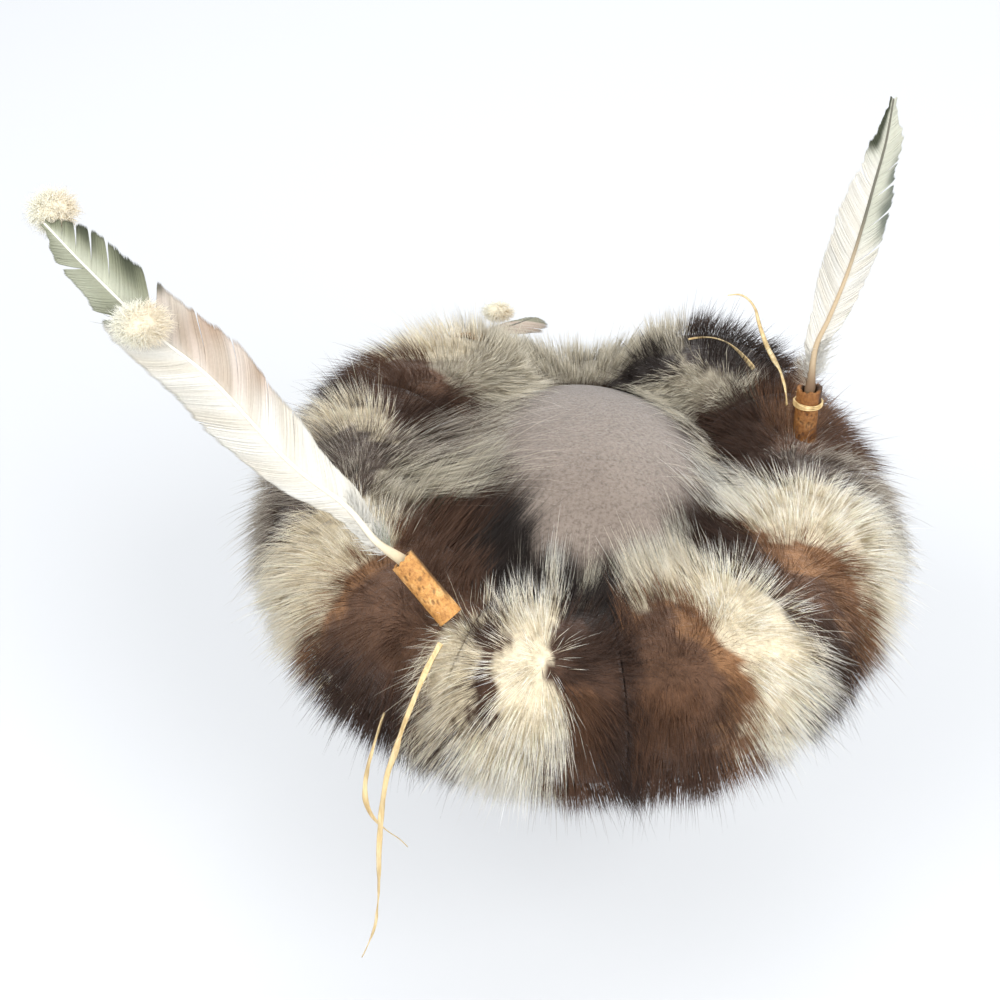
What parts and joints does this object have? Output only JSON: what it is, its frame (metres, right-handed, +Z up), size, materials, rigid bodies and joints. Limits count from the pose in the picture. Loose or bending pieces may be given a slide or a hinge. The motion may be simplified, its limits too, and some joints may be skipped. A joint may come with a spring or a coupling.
{
  "type": "feathered fur headdress",
  "caption": "Headdress with a felt dome inside a thick roll of striped fur, feathers standing in short wooden tubes, puffs of down and loose raffia ends.",
  "frame": {"origin": "centre of the crown's rim, in the rim's plane, where the hat sits on a head", "axes": "+Z up through the crown; the wearer looks along -Y, and +X is to the right of someone who faces the wearer"},
  "size_m": [0.3882, 0.3738, 0.3275],
  "materials": {
    "felt": "matt wool felt, short nap",
    "fur_cream": "long soft fur, cream",
    "fur_dark": "long soft fur, near-black brown",
    "fur_brown": "long soft fur, chestnut brown",
    "fur_grey": "long soft fur, grey and cream",
    "wood": "bare mottled wood, pitted",
    "raffia": "dry flat raffia",
    "feather": "feather, soft sheen",
    "down": "loose down"
  },
  "bodies": {
    "root": {"felt_crown": "felt", "fur_front_left": "fur_cream", "fur_front": "fur_dark", "fur_front_right": "fur_cream", "fur_right": "fur_brown", "fur_back_right": "fur_dark", "fur_back": "fur_brown", "fur_back_left": "fur_grey", "fur_left": "fur_dark", "fur_side_left": "fur_brown", "tube_left": "wood", "feather_left": "feather", "tube_right": "wood", "feather_right": "feather", "tube_back": "wood", "feather_back": "feather", "lashing_right": "raffia", "down_left_tip": "down", "down_left_middle": "down", "down_back": "down", "raffia_left_long": "raffia", "raffia_left_short": "raffia", "raffia_right_long": "raffia", "raffia_right_short": "raffia"}
  },
  "joints": []
}
